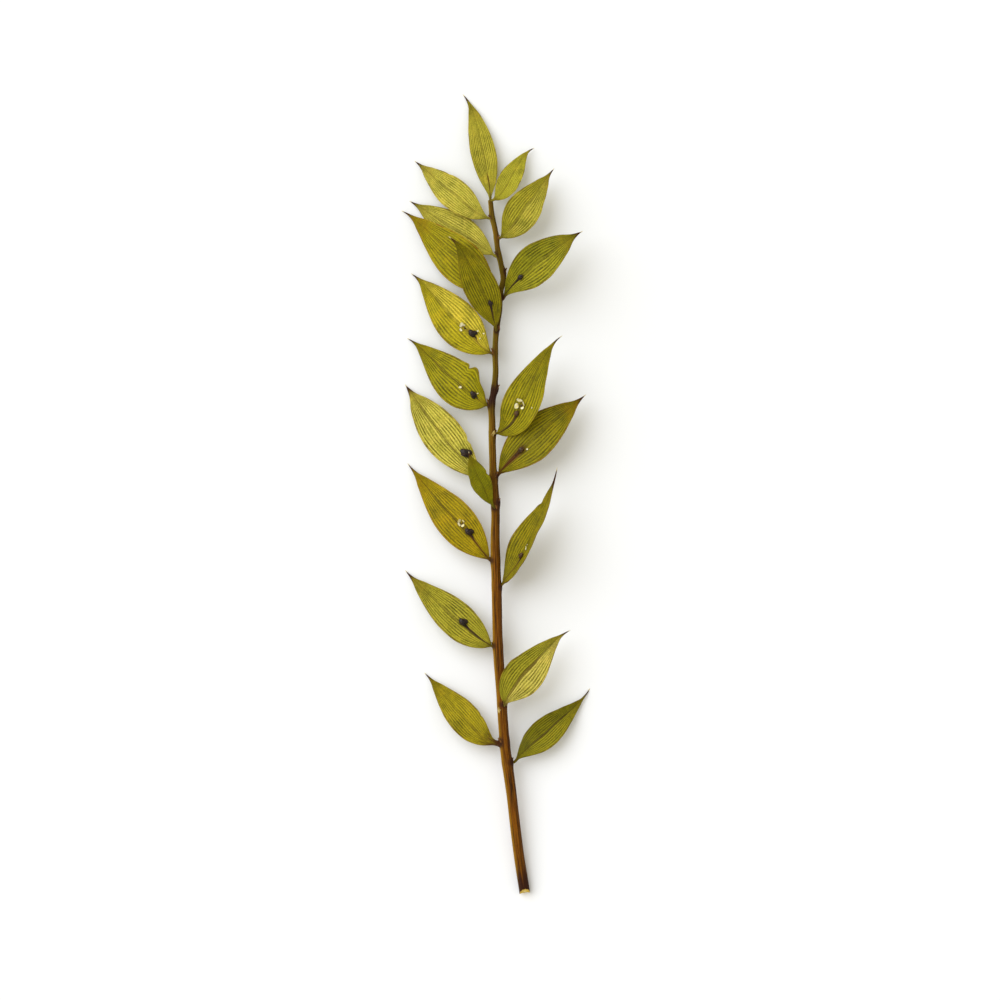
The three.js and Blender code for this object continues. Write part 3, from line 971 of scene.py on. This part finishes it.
def egg(shape, centre, right, forward, up, sizes, finish=0, columns=28, rows=20, grow=1.0):
    """A pointed egg with faint ribs."""
    share = np.linspace(0.0, 1.0, rows + 1)[:, None] * np.ones((1, columns))
    turn = np.linspace(0.0, TAU, columns, endpoint=False)[None, :] * np.ones((rows + 1, 1))
    body = np.sin(math.pi * np.clip(share, 0.004, 0.996)) ** 0.62 * (1.08 - 0.32 * share)
    body = body * (1.0 + 0.05 * np.cos(6.0 * turn)) * grow
    x = sizes[0] * body * np.cos(turn)
    z = sizes[2] * body * np.sin(turn)
    y = sizes[1] * (2.0 * share - 1.0)
    points = centre + right * x[..., None] + forward * y[..., None] + up * z[..., None]
    uvs = np.stack([turn / TAU, share], axis=-1)
    index = shape.grid(points, uvs, finish=finish, round_columns=True)
    shape.cap(index[0, :-1], finish=finish)
    shape.cap(index[-1, :-1], finish=finish)


def bract(shape, centre, right, forward, up, sizes, turn, start, reach, spread, lift, finish=0):
    """One bract lying on the egg: it starts at a share of its length and wraps part of it."""
    rows, columns = 9, 8
    share = np.linspace(0.0, 1.0, rows + 1)[:, None] * np.ones((1, columns + 1))
    across = np.linspace(-1.0, 1.0, columns + 1)[None, :] * np.ones((rows + 1, 1))
    place = start + reach * share
    body = np.sin(math.pi * np.clip(place, 0.03, 0.97)) ** 0.62 * (1.08 - 0.32 * place)
    angle = turn + across * spread * leaf_outline(np.clip(share, 0.02, 0.98), 0.35, 1.3)
    outside = body * (1.04 + 0.10 * share + lift * share**3)
    layers = []
    for thickness in (0.10, 0.0):
        swollen = outside + thickness * np.sqrt(np.clip(1.0 - across**2, 0.0, 1.0))
        x = sizes[0] * swollen * np.cos(angle)
        z = sizes[2] * swollen * np.sin(angle)
        y = sizes[1] * (2.0 * place - 1.0)
        layers.append(centre + right * x[..., None] + forward * y[..., None] + up * z[..., None])
    loop = np.concatenate([layers[0], layers[1][:, -2:0:-1]], axis=1)
    turns = np.concatenate([across, across[:, -2:0:-1]], axis=1)
    lengths = np.concatenate([share, share[:, 1:-1]], axis=1)
    uvs = np.stack([(turns + 1.0) / 2.0, lengths], axis=-1)
    rim = np.maximum(np.abs(turns), lengths) ** 5
    index = shape.grid(loop, uvs, finish=finish, round_columns=True, extra=rim)
    shape.cap(index[0, :-1], finish=finish)
    shape.cap(index[-1, :-1], finish=finish)


def add_stalk(shape, points, radii, finish=0, columns=12):
    """A thin round stalk through a few points."""
    knots = np.array(points)
    at = np.linspace(0.0, len(knots) - 1.0, 6 * len(knots))
    line = spline(knots, at)
    ahead = unit(np.gradient(line, axis=0))
    right = unit(np.cross(ahead, np.array([0.0, 0.0, 1.0])))
    up = np.cross(right, ahead)
    radius = np.interp(at, np.arange(len(radii)), radii)
    turn = np.linspace(0.0, TAU, columns, endpoint=False)
    ring = right[:, None, :] * np.cos(turn)[None, :, None]
    ring = ring + up[:, None, :] * np.sin(turn)[None, :, None]
    tube = line[:, None, :] + ring * radius[:, None, None]
    uvs = np.stack(np.meshgrid(turn / TAU, at / at[-1]), axis=-1)
    index = shape.grid(tube, uvs, finish=finish, round_columns=True)
    shape.cap(index[0, :-1], finish=finish)
    shape.cap(index[-1, :-1], finish=finish)


# Bud clusters: size factor, number of eggs, and pale dry flecks beside them, given as
# (to the right, towards the tip, length, width) in mm.
BUD_LOOKS = {
    7: (0.80, 1, []),
    8: (0.90, 1, []),
    9: (1.15, 2, [(1.6, -1.0, 0.7, 0.4), (2.2, -2.2, 0.6, 0.35), (0.4, -2.6, 0.5, 0.3)]),
    10: (1.00, 2, [(-0.4, 3.2, 1.0, 0.6), (0.9, -0.9, 0.6, 0.35)]),
    11: (0.90, 1, [(2.6, 3.6, 0.5, 0.4)]),
    12: (0.95, 1, [(0.9, 1.2, 0.7, 0.4)]),
    13: (1.45, 2, [(-1.2, -0.2, 0.8, 0.55)]),
    15: (1.15, 2, [(0.7, -0.4, 0.4, 0.3)]),
    16: (0.90, 1, [(0.1, 1.9, 1.2, 0.6), (-0.7, 2.6, 0.7, 0.35)]),
    17: (1.15, 2, []),
}


BROWN_BUDS = (11, 12, 16)


def make_bud(number, blade, materials):
    """A cluster of dark overlapping bracts, seated on the blade, on a short stalk."""
    size, eggs, flecks = BUD_LOOKS[number]
    ground, right, forward, up, (row, column) = seat(blade, f"bud_{number:02d}")
    chance = random.Random(500 + number)
    shape = Shape()
    sizes = np.array([0.62, 1.0, 0.52]) * size * MM
    for order in range(eggs):
        factor = 1.0 if order == 0 else 0.62
        shift = 0.0 if order == 0 else 0.75 * size * MM
        sideways = right * (shift * (0.8 if number % 2 else -0.8)) - forward * shift * 0.5
        small = sizes * factor
        centre = ground + sideways + up * (small[2] * 0.80)
        lean = unit(forward + 0.16 * up + right * chance.uniform(-0.25, 0.25))
        across = unit(np.cross(lean, up))
        above = np.cross(across, lean)
        egg(shape, centre, across, lean, above, small)
        for layer in range(3):
            for step in range(3):
                turn = TAU * (step / 3.0 + layer / 6.0) + chance.uniform(-0.2, 0.2)
                bract(shape, centre, across, lean, above, small, turn, 0.02 + 0.2 * layer,
                      0.56, 0.92, 0.14 + chance.uniform(0.0, 0.20))
    low_row = max(PETIOLE_ROWS + 6, row - 5)
    stalk = [
        blade["upper"][low_row, (3 * column + BLADE_COLUMNS // 2) // 4] - up * 0.10 * MM,
        blade["upper"][(low_row + row) // 2, column] - up * 0.02 * MM,
        ground + up * 0.18 * MM,
    ]
    add_stalk(shape, stalk, [0.10 * MM, 0.15 * MM, 0.22 * MM])
    for aside, ahead, length, width in flecks:
        add_fleck(shape, blade, (row, column), aside, ahead, length, width, chance)
    shape.build(f"bud_cluster_{number:02d}", materials, [f"bud_{number:02d}"])


def add_fleck(shape, blade, start, aside, ahead, length, width, chance):
    """A pale dry chip lying on the blade near the bud."""
    row, column = start
    here = blade["upper"][row, column]
    up = blade["tilted"][row, column]
    forward = blade["along"][row]
    right = np.cross(forward, up)
    target = here + right * aside * MM + forward * ahead * MM
    gaps = np.linalg.norm(blade["upper"] - target, axis=2)
    row, column = np.unravel_index(gaps.argmin(), gaps.shape)
    up = blade["tilted"][row, column]
    angle = chance.uniform(-1.0, 1.0)
    ahead_here = unit(math.cos(angle) * forward + math.sin(angle) * right)
    ahead_here = unit(ahead_here - (ahead_here @ up) * up)
    across = np.cross(ahead_here, up)
    origin = blade["upper"][row, column] + up * 0.03 * MM
    add_patch(shape, origin, across, ahead_here, up, width * MM, length * MM, 0.12 * MM, 0.7,
              0.05 * MM, finish=1, columns=6, rows=8)


# Flowers: number of dry petals, how far round they spread in turns, size factor, first angle.
FLOWER_LOOKS = {
    9: (3, 0.44, 1.20, 0.9),
    11: (4, 1.0, 1.40, 0.75),
    15: (4, 0.90, 1.10, 0.1),
}


def make_flower(number, blade, materials):
    """A dry flower: broad crumpled cream petals round a small dark heart."""
    petals, spread, size, first = FLOWER_LOOKS[number]
    ground, right, forward, up, _ = seat(blade, f"flower_{number:02d}")
    chance = random.Random(700 + number)
    shape = Shape()
    for step in range(petals):
        angle = first + TAU * spread * step / petals + chance.uniform(-0.30, 0.30)
        ahead = unit(math.cos(angle) * right + math.sin(angle) * forward)
        across = np.cross(ahead, up)
        grown = size * chance.uniform(0.68, 1.22)
        origin = ground + ahead * chance.uniform(0.28, 0.46) * size * MM + up * chance.uniform(0.05, 0.12) * MM
        add_patch(
            shape, origin, across, unit(ahead + 0.35 * up), up,
            width=0.92 * grown * MM, length=0.80 * grown * MM, cup=0.20 * MM,
            curl=1.3 + chance.uniform(-0.8, 0.9), thickness=0.08 * MM,
            tip_turn=chance.uniform(-0.35, 0.35), point=0.9,
        )
    heart = ground + up * 0.08 * MM + right * 0.16 * MM - forward * 0.20 * MM
    egg(shape, heart, right, forward, up, np.array([0.20, 0.26, 0.14]) * size * MM, finish=1,
        columns=16, rows=10)
    shape.build(f"dry_flower_{number:02d}", materials, [f"flower_{number:02d}"])


# ---------------------------------------------------------------- table, light and camera

VIEW_WIDTH = 0.250              # width of the view at the height of the blades
VIEW_CENTRE = (0.00112, -0.00161)
CAMERA_HEIGHT = 1.30
BLADE_LEVEL = 0.004
KEY_STRENGTH = 2.06
KEY_COLOUR = (0.985, 1.04, 1.15)
KEY_ANGLE = 58.0                # degrees across: the broader, the softer the shadows
KEY_TOWARD = (0.78, -0.62, -math.tan(math.radians(46.0)))
SKY_STRENGTH = 0.69
SKY_COLOUR = (1.0, 0.965, 0.86, 1.0)


def make_table():
    mesh = bpy.data.meshes.new("table_top")
    size = 3.0
    corners = [(-size, -size, 0.0), (size, -size, 0.0), (size, size, 0.0), (-size, size, 0.0)]
    mesh.from_pydata(corners, [], [(0, 1, 2, 3)])
    f = Finish("white_table")
    cloud = f.noise(f.place(), 6.0, 2.0)
    colour = f.mix(f.band(cloud, 0.3, 0.7), linear((244, 244, 243)), linear((246, 246, 246)))
    mesh.materials.append(f.done(colour, 0.9, None, 0.1))
    table = bpy.data.objects.new("table_top", mesh)
    bpy.context.scene.collection.objects.link(table)


def make_light():
    """A broad soft key from the upper left, and an even white sky."""
    key = bpy.data.lights.new("key", "SUN")
    key.energy = KEY_STRENGTH
    key.angle = math.radians(KEY_ANGLE)
    key.color = KEY_COLOUR
    lamp = bpy.data.objects.new("key", key)
    lamp.rotation_euler = Vector(KEY_TOWARD).to_track_quat("-Z", "Y").to_euler()
    lamp.location = (-0.5, 0.4, 0.8)
    bpy.context.scene.collection.objects.link(lamp)
    world = bpy.data.worlds.new("sky")
    world.use_nodes = True
    sky = world.node_tree.nodes["Background"]
    sky.inputs["Color"].default_value = SKY_COLOUR
    sky.inputs["Strength"].default_value = SKY_STRENGTH
    bpy.context.scene.world = world


def make_camera():
    data = bpy.data.cameras.new("camera")
    distance = CAMERA_HEIGHT - BLADE_LEVEL
    data.sensor_width = 36.0
    data.lens = 36.0 * distance / VIEW_WIDTH
    data.clip_end = 20.0
    camera = bpy.data.objects.new("camera", data)
    camera.location = (*VIEW_CENTRE, CAMERA_HEIGHT)
    bpy.context.scene.collection.objects.link(camera)
    bpy.context.scene.camera = camera


def set_tones():
    settings = bpy.context.scene.view_settings
    settings.view_transform = "Standard"
    settings.look = "None"
    settings.exposure = 0.0
    settings.gamma = 1.0


# ---------------------------------------------------------------- the sprig

make_table()
make_light()
make_camera()
set_tones()

bark = bark_finish()
wood = wood_finish()
scale = scale_finish("dry_scale", (66, 32, 10), (128, 84, 30))
husk = scale_finish("pale_scale", (150, 122, 58), (204, 182, 112))
petal = petal_finish()
black_bud = bud_finish("dry_bud", (9, 5, 6), (34, 18, 14), (96, 64, 36))
brown_bud = bud_finish("brown_bud", (38, 20, 6), (84, 54, 16), (126, 88, 34))
make_stem([bark, wood, scale, husk])
blades = {number: make_blade(number) for number in BLADE_LOOKS}
for number in BUD_LOOKS:
    bud = brown_bud if number in BROWN_BUDS else black_bud
    make_bud(number, blades[number], [bud, petal])
for number in FLOWER_LOOKS:
    make_flower(number, blades[number], [petal, brown_bud])
